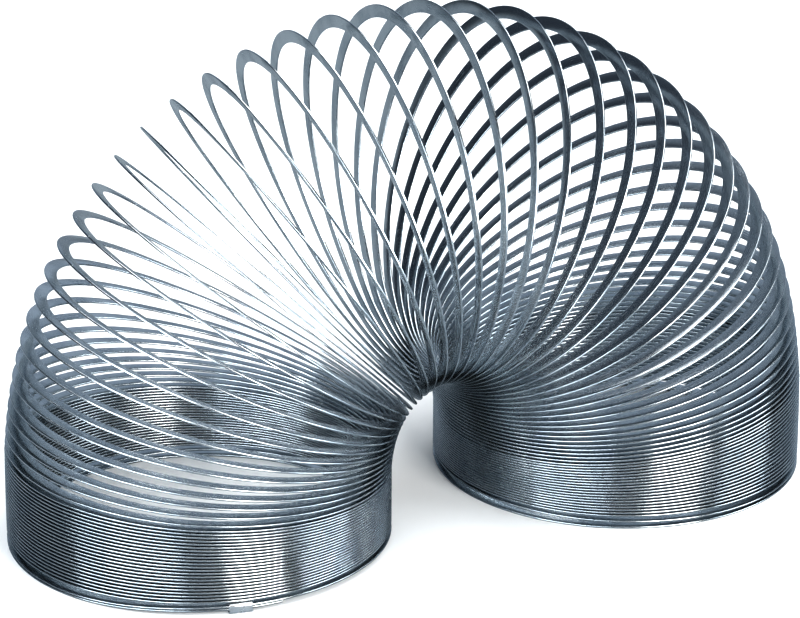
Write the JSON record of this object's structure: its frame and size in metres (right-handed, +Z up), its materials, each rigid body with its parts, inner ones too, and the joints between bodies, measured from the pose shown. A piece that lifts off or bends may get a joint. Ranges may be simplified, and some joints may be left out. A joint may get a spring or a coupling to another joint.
{
  "type": "spring coil toy",
  "caption": "Metal walking spring standing as an arch: a flat-wire coil whose closed ends rest on the table while its open turns fan over between them.",
  "frame": {"origin": "on the resting surface, midway between the two feet", "axes": "+Z up, +X from the left leg to the right leg in the plane of the arch, +Y away from the side where the left clip is"},
  "size_m": [0.1554, 0.0708, 0.0934],
  "materials": {
    "spring_wire": "bright drawn steel, smooth flat faces, polished edges",
    "end_clip": "bright crimped steel sheet"
  },
  "bodies": {
    "left_foot": {"left_foot_coil": "spring_wire", "left_end_clip": "end_clip"},
    "left_leg": {"left_leg_coil": "spring_wire"},
    "turn_01": {"arch_turn_01": "spring_wire"},
    "turn_02": {"arch_turn_02": "spring_wire"},
    "turn_03": {"arch_turn_03": "spring_wire"},
    "turn_04": {"arch_turn_04": "spring_wire"},
    "turn_05": {"arch_turn_05": "spring_wire"},
    "turn_06": {"arch_turn_06": "spring_wire"},
    "turn_07": {"arch_turn_07": "spring_wire"},
    "turn_08": {"arch_turn_08": "spring_wire"},
    "turn_09": {"arch_turn_09": "spring_wire"},
    "turn_10": {"arch_turn_10": "spring_wire"},
    "turn_11": {"arch_turn_11": "spring_wire"},
    "turn_12": {"arch_turn_12": "spring_wire"},
    "turn_13": {"arch_turn_13": "spring_wire"},
    "turn_14": {"arch_turn_14": "spring_wire"},
    "turn_15": {"arch_turn_15": "spring_wire"},
    "turn_16": {"arch_turn_16": "spring_wire"},
    "turn_17": {"arch_turn_17": "spring_wire"},
    "turn_18": {"arch_turn_18": "spring_wire"},
    "turn_19": {"arch_turn_19": "spring_wire"},
    "turn_20": {"arch_turn_20": "spring_wire"},
    "turn_21": {"arch_turn_21": "spring_wire"},
    "turn_22": {"arch_turn_22": "spring_wire"},
    "turn_23": {"arch_turn_23": "spring_wire"},
    "turn_24": {"arch_turn_24": "spring_wire"},
    "turn_25": {"arch_turn_25": "spring_wire"},
    "turn_26": {"arch_turn_26": "spring_wire"},
    "turn_27": {"arch_turn_27": "spring_wire"},
    "turn_28": {"arch_turn_28": "spring_wire"},
    "turn_29": {"arch_turn_29": "spring_wire"},
    "turn_30": {"arch_turn_30": "spring_wire"},
    "turn_31": {"arch_turn_31": "spring_wire"},
    "turn_32": {"arch_turn_32": "spring_wire"},
    "turn_33": {"arch_turn_33": "spring_wire"},
    "turn_34": {"arch_turn_34": "spring_wire"},
    "turn_35": {"arch_turn_35": "spring_wire"},
    "turn_36": {"arch_turn_36": "spring_wire"},
    "turn_37": {"arch_turn_37": "spring_wire"},
    "turn_38": {"arch_turn_38": "spring_wire"},
    "turn_39": {"arch_turn_39": "spring_wire"},
    "turn_40": {"arch_turn_40": "spring_wire"},
    "turn_41": {"arch_turn_41": "spring_wire"},
    "turn_42": {"arch_turn_42": "spring_wire"},
    "turn_43": {"arch_turn_43": "spring_wire"},
    "turn_44": {"arch_turn_44": "spring_wire"},
    "turn_45": {"arch_turn_45": "spring_wire"},
    "turn_46": {"arch_turn_46": "spring_wire"},
    "right_leg": {"right_leg_coil": "spring_wire"},
    "right_foot": {"right_foot_coil": "spring_wire", "right_end_clip": "end_clip"}
  },
  "joints": [
    {"name": "left_leg_stretch", "type": "slide", "parent": "left_foot", "child": "left_leg", "axis": [0, 0, 1], "range_m": [0, 0.06]},
    {"name": "tip_turn_01", "type": "hinge", "parent": "left_leg", "child": "turn_01", "pos_m": [-0.00769, 0, 0.01242], "axis": [0, 1, 0], "range_deg": [-0.6163, 0]},
    {"name": "tip_turn_02", "type": "hinge", "parent": "turn_01", "child": "turn_02", "pos_m": [-0.00763, 0, 0.0131], "axis": [0, 1, 0], "range_deg": [-1.26, 0]},
    {"name": "tip_turn_03", "type": "hinge", "parent": "turn_02", "child": "turn_03", "pos_m": [-0.00756, 0, 0.01377], "axis": [0, 1, 0], "range_deg": [-1.34, 0]},
    {"name": "tip_turn_04", "type": "hinge", "parent": "turn_03", "child": "turn_04", "pos_m": [-0.00747, 0, 0.01445], "axis": [0, 1, 0], "range_deg": [-1.47, 0]},
    {"name": "tip_turn_05", "type": "hinge", "parent": "turn_04", "child": "turn_05", "pos_m": [-0.00736, 0, 0.01512], "axis": [0, 1, 0], "range_deg": [-1.65, 0]},
    {"name": "tip_turn_06", "type": "hinge", "parent": "turn_05", "child": "turn_06", "pos_m": [-0.00723, 0, 0.01579], "axis": [0, 1, 0], "range_deg": [-1.87, 0]},
    {"name": "tip_turn_07", "type": "hinge", "parent": "turn_06", "child": "turn_07", "pos_m": [-0.00708, 0, 0.01645], "axis": [0, 1, 0], "range_deg": [-2.14, 0]},
    {"name": "tip_turn_08", "type": "hinge", "parent": "turn_07", "child": "turn_08", "pos_m": [-0.00691, 0, 0.01711], "axis": [0, 1, 0], "range_deg": [-2.44, 0]},
    {"name": "tip_turn_09", "type": "hinge", "parent": "turn_08", "child": "turn_09", "pos_m": [-0.00671, 0, 0.01776], "axis": [0, 1, 0], "range_deg": [-2.77, 0]},
    {"name": "tip_turn_10", "type": "hinge", "parent": "turn_09", "child": "turn_10", "pos_m": [-0.00647, 0, 0.0184], "axis": [0, 1, 0], "range_deg": [-3.12, 0]},
    {"name": "tip_turn_11", "type": "hinge", "parent": "turn_10", "child": "turn_11", "pos_m": [-0.00621, 0, 0.01902], "axis": [0, 1, 0], "range_deg": [-3.49, 0]},
    {"name": "tip_turn_12", "type": "hinge", "parent": "turn_11", "child": "turn_12", "pos_m": [-0.0059, 0, 0.01963], "axis": [0, 1, 0], "range_deg": [-3.87, 0]},
    {"name": "tip_turn_13", "type": "hinge", "parent": "turn_12", "child": "turn_13", "pos_m": [-0.00556, 0, 0.02022], "axis": [0, 1, 0], "range_deg": [-4.25, 0]},
    {"name": "tip_turn_14", "type": "hinge", "parent": "turn_13", "child": "turn_14", "pos_m": [-0.00517, 0, 0.02078], "axis": [0, 1, 0], "range_deg": [-4.62, 0]},
    {"name": "tip_turn_15", "type": "hinge", "parent": "turn_14", "child": "turn_15", "pos_m": [-0.00474, 0, 0.0213], "axis": [0, 1, 0], "range_deg": [-4.99, 0]},
    {"name": "tip_turn_16", "type": "hinge", "parent": "turn_15", "child": "turn_16", "pos_m": [-0.00426, 0, 0.02179], "axis": [0, 1, 0], "range_deg": [-5.33, 0]},
    {"name": "tip_turn_17", "type": "hinge", "parent": "turn_16", "child": "turn_17", "pos_m": [-0.00375, 0, 0.02223], "axis": [0, 1, 0], "range_deg": [-5.65, 0]},
    {"name": "tip_turn_18", "type": "hinge", "parent": "turn_17", "child": "turn_18", "pos_m": [-0.00319, 0, 0.02261], "axis": [0, 1, 0], "range_deg": [-5.93, 0]},
    {"name": "tip_turn_19", "type": "hinge", "parent": "turn_18", "child": "turn_19", "pos_m": [-0.00259, 0, 0.02294], "axis": [0, 1, 0], "range_deg": [-6.17, 0]},
    {"name": "tip_turn_20", "type": "hinge", "parent": "turn_19", "child": "turn_20", "pos_m": [-0.00196, 0, 0.0232], "axis": [0, 1, 0], "range_deg": [-6.37, 0]},
    {"name": "tip_turn_21", "type": "hinge", "parent": "turn_20", "child": "turn_21", "pos_m": [-0.00131, 0, 0.02339], "axis": [0, 1, 0], "range_deg": [-6.53, 0]},
    {"name": "tip_turn_22", "type": "hinge", "parent": "turn_21", "child": "turn_22", "pos_m": [-0.00064, 0, 0.02351], "axis": [0, 1, 0], "range_deg": [-6.63, 0]},
    {"name": "tip_turn_23", "type": "hinge", "parent": "turn_22", "child": "turn_23", "pos_m": [0.00004, 0, 0.02354], "axis": [0, 1, 0], "range_deg": [-6.68, 0]},
    {"name": "tip_turn_24", "type": "hinge", "parent": "turn_23", "child": "turn_24", "pos_m": [0.00072, 0, 0.0235], "axis": [0, 1, 0], "range_deg": [-6.67, 0]},
    {"name": "tip_turn_25", "type": "hinge", "parent": "turn_24", "child": "turn_25", "pos_m": [0.00139, 0, 0.02338], "axis": [0, 1, 0], "range_deg": [-6.6, 0]},
    {"name": "tip_turn_26", "type": "hinge", "parent": "turn_25", "child": "turn_26", "pos_m": [0.00204, 0, 0.02318], "axis": [0, 1, 0], "range_deg": [-6.49, 0]},
    {"name": "tip_turn_27", "type": "hinge", "parent": "turn_26", "child": "turn_27", "pos_m": [0.00266, 0, 0.02291], "axis": [0, 1, 0], "range_deg": [-6.31, 0]},
    {"name": "tip_turn_28", "type": "hinge", "parent": "turn_27", "child": "turn_28", "pos_m": [0.00325, 0, 0.02258], "axis": [0, 1, 0], "range_deg": [-6.09, 0]},
    {"name": "tip_turn_29", "type": "hinge", "parent": "turn_28", "child": "turn_29", "pos_m": [0.0038, 0, 0.02218], "axis": [0, 1, 0], "range_deg": [-5.82, 0]},
    {"name": "tip_turn_30", "type": "hinge", "parent": "turn_29", "child": "turn_30", "pos_m": [0.00431, 0, 0.02173], "axis": [0, 1, 0], "range_deg": [-5.51, 0]},
    {"name": "tip_turn_31", "type": "hinge", "parent": "turn_30", "child": "turn_31", "pos_m": [0.00477, 0, 0.02123], "axis": [0, 1, 0], "range_deg": [-5.16, 0]},
    {"name": "tip_turn_32", "type": "hinge", "parent": "turn_31", "child": "turn_32", "pos_m": [0.00519, 0, 0.02069], "axis": [0, 1, 0], "range_deg": [-4.79, 0]},
    {"name": "tip_turn_33", "type": "hinge", "parent": "turn_32", "child": "turn_33", "pos_m": [0.00556, 0, 0.02012], "axis": [0, 1, 0], "range_deg": [-4.38, 0]},
    {"name": "tip_turn_34", "type": "hinge", "parent": "turn_33", "child": "turn_34", "pos_m": [0.00588, 0, 0.01952], "axis": [0, 1, 0], "range_deg": [-3.96, 0]},
    {"name": "tip_turn_35", "type": "hinge", "parent": "turn_34", "child": "turn_35", "pos_m": [0.00617, 0, 0.0189], "axis": [0, 1, 0], "range_deg": [-3.53, 0]},
    {"name": "tip_turn_36", "type": "hinge", "parent": "turn_35", "child": "turn_36", "pos_m": [0.00641, 0, 0.01827], "axis": [0, 1, 0], "range_deg": [-3.1, 0]},
    {"name": "tip_turn_37", "type": "hinge", "parent": "turn_36", "child": "turn_37", "pos_m": [0.00662, 0, 0.01762], "axis": [0, 1, 0], "range_deg": [-2.67, 0]},
    {"name": "tip_turn_38", "type": "hinge", "parent": "turn_37", "child": "turn_38", "pos_m": [0.0068, 0, 0.01697], "axis": [0, 1, 0], "range_deg": [-2.26, 0]},
    {"name": "tip_turn_39", "type": "hinge", "parent": "turn_38", "child": "turn_39", "pos_m": [0.00695, 0, 0.0163], "axis": [0, 1, 0], "range_deg": [-1.87, 0]},
    {"name": "tip_turn_40", "type": "hinge", "parent": "turn_39", "child": "turn_40", "pos_m": [0.00709, 0, 0.01564], "axis": [0, 1, 0], "range_deg": [-1.5, 0]},
    {"name": "tip_turn_41", "type": "hinge", "parent": "turn_40", "child": "turn_41", "pos_m": [0.0072, 0, 0.01497], "axis": [0, 1, 0], "range_deg": [-1.17, 0]},
    {"name": "tip_turn_42", "type": "hinge", "parent": "turn_41", "child": "turn_42", "pos_m": [0.0073, 0, 0.01429], "axis": [0, 1, 0], "range_deg": [-0.8827, 0]},
    {"name": "tip_turn_43", "type": "hinge", "parent": "turn_42", "child": "turn_43", "pos_m": [0.00739, 0, 0.01362], "axis": [0, 1, 0], "range_deg": [-0.6373, 0]},
    {"name": "tip_turn_44", "type": "hinge", "parent": "turn_43", "child": "turn_44", "pos_m": [0.00747, 0, 0.01294], "axis": [0, 1, 0], "range_deg": [-0.4418, 0]},
    {"name": "tip_turn_45", "type": "hinge", "parent": "turn_44", "child": "turn_45", "pos_m": [0.00755, 0, 0.01227], "axis": [0, 1, 0], "range_deg": [-0.2995, 0]},
    {"name": "tip_turn_46", "type": "hinge", "parent": "turn_45", "child": "turn_46", "pos_m": [0.00762, 0, 0.01159], "axis": [0, 1, 0], "range_deg": [-0.2131, 0]},
    {"name": "tip_right_leg", "type": "hinge", "parent": "turn_46", "child": "right_leg", "pos_m": [0.00769, 0, 0.01092], "axis": [0, 1, 0], "range_deg": [-0.0921, 0]},
    {"name": "right_leg_stretch", "type": "slide", "parent": "right_leg", "child": "right_foot", "axis": [0, 0, -1], "range_m": [0, 0.06]}
  ],
  "couplings": [
    {"joint": "right_leg_stretch", "follows": "left_leg_stretch", "ratio": 1},
    {"joint": "tip_turn_01", "follows": "tip_turn_22", "ratio": 0.092982},
    {"joint": "tip_turn_02", "follows": "tip_turn_22", "ratio": 0.18998},
    {"joint": "tip_turn_03", "follows": "tip_turn_22", "ratio": 0.20191},
    {"joint": "tip_turn_04", "follows": "tip_turn_22", "ratio": 0.22153},
    {"joint": "tip_turn_05", "follows": "tip_turn_22", "ratio": 0.24849},
    {"joint": "tip_turn_06", "follows": "tip_turn_22", "ratio": 0.28222},
    {"joint": "tip_turn_07", "follows": "tip_turn_22", "ratio": 0.32213},
    {"joint": "tip_turn_08", "follows": "tip_turn_22", "ratio": 0.36739},
    {"joint": "tip_turn_09", "follows": "tip_turn_22", "ratio": 0.41716},
    {"joint": "tip_turn_10", "follows": "tip_turn_22", "ratio": 0.47048},
    {"joint": "tip_turn_11", "follows": "tip_turn_22", "ratio": 0.52629},
    {"joint": "tip_turn_12", "follows": "tip_turn_22", "ratio": 0.58352},
    {"joint": "tip_turn_13", "follows": "tip_turn_22", "ratio": 0.64106},
    {"joint": "tip_turn_14", "follows": "tip_turn_22", "ratio": 0.69777},
    {"joint": "tip_turn_15", "follows": "tip_turn_22", "ratio": 0.75254},
    {"joint": "tip_turn_16", "follows": "tip_turn_22", "ratio": 0.80429},
    {"joint": "tip_turn_17", "follows": "tip_turn_22", "ratio": 0.85201},
    {"joint": "tip_turn_18", "follows": "tip_turn_22", "ratio": 0.89472},
    {"joint": "tip_turn_19", "follows": "tip_turn_22", "ratio": 0.93158},
    {"joint": "tip_turn_20", "follows": "tip_turn_22", "ratio": 0.9618},
    {"joint": "tip_turn_21", "follows": "tip_turn_22", "ratio": 0.98478},
    {"joint": "tip_turn_24", "follows": "tip_turn_23", "ratio": 0.99879},
    {"joint": "tip_turn_25", "follows": "tip_turn_23", "ratio": 0.98927},
    {"joint": "tip_turn_26", "follows": "tip_turn_23", "ratio": 0.97155},
    {"joint": "tip_turn_27", "follows": "tip_turn_23", "ratio": 0.94586},
    {"joint": "tip_turn_28", "follows": "tip_turn_23", "ratio": 0.91263},
    {"joint": "tip_turn_29", "follows": "tip_turn_23", "ratio": 0.87238},
    {"joint": "tip_turn_30", "follows": "tip_turn_23", "ratio": 0.82582},
    {"joint": "tip_turn_31", "follows": "tip_turn_23", "ratio": 0.77372},
    {"joint": "tip_turn_32", "follows": "tip_turn_23", "ratio": 0.717},
    {"joint": "tip_turn_33", "follows": "tip_turn_23", "ratio": 0.65664},
    {"joint": "tip_turn_34", "follows": "tip_turn_23", "ratio": 0.59371},
    {"joint": "tip_turn_35", "follows": "tip_turn_23", "ratio": 0.52931},
    {"joint": "tip_turn_36", "follows": "tip_turn_23", "ratio": 0.46461},
    {"joint": "tip_turn_37", "follows": "tip_turn_23", "ratio": 0.40073},
    {"joint": "tip_turn_38", "follows": "tip_turn_23", "ratio": 0.33883},
    {"joint": "tip_turn_39", "follows": "tip_turn_23", "ratio": 0.28002},
    {"joint": "tip_turn_40", "follows": "tip_turn_23", "ratio": 0.22534},
    {"joint": "tip_turn_41", "follows": "tip_turn_23", "ratio": 0.17578},
    {"joint": "tip_turn_42", "follows": "tip_turn_23", "ratio": 0.13223},
    {"joint": "tip_turn_43", "follows": "tip_turn_23", "ratio": 0.095471},
    {"joint": "tip_turn_44", "follows": "tip_turn_23", "ratio": 0.066184},
    {"joint": "tip_turn_45", "follows": "tip_turn_23", "ratio": 0.044866},
    {"joint": "tip_turn_46", "follows": "tip_turn_23", "ratio": 0.031923},
    {"joint": "tip_right_leg", "follows": "tip_turn_23", "ratio": 0.013797}
  ]
}
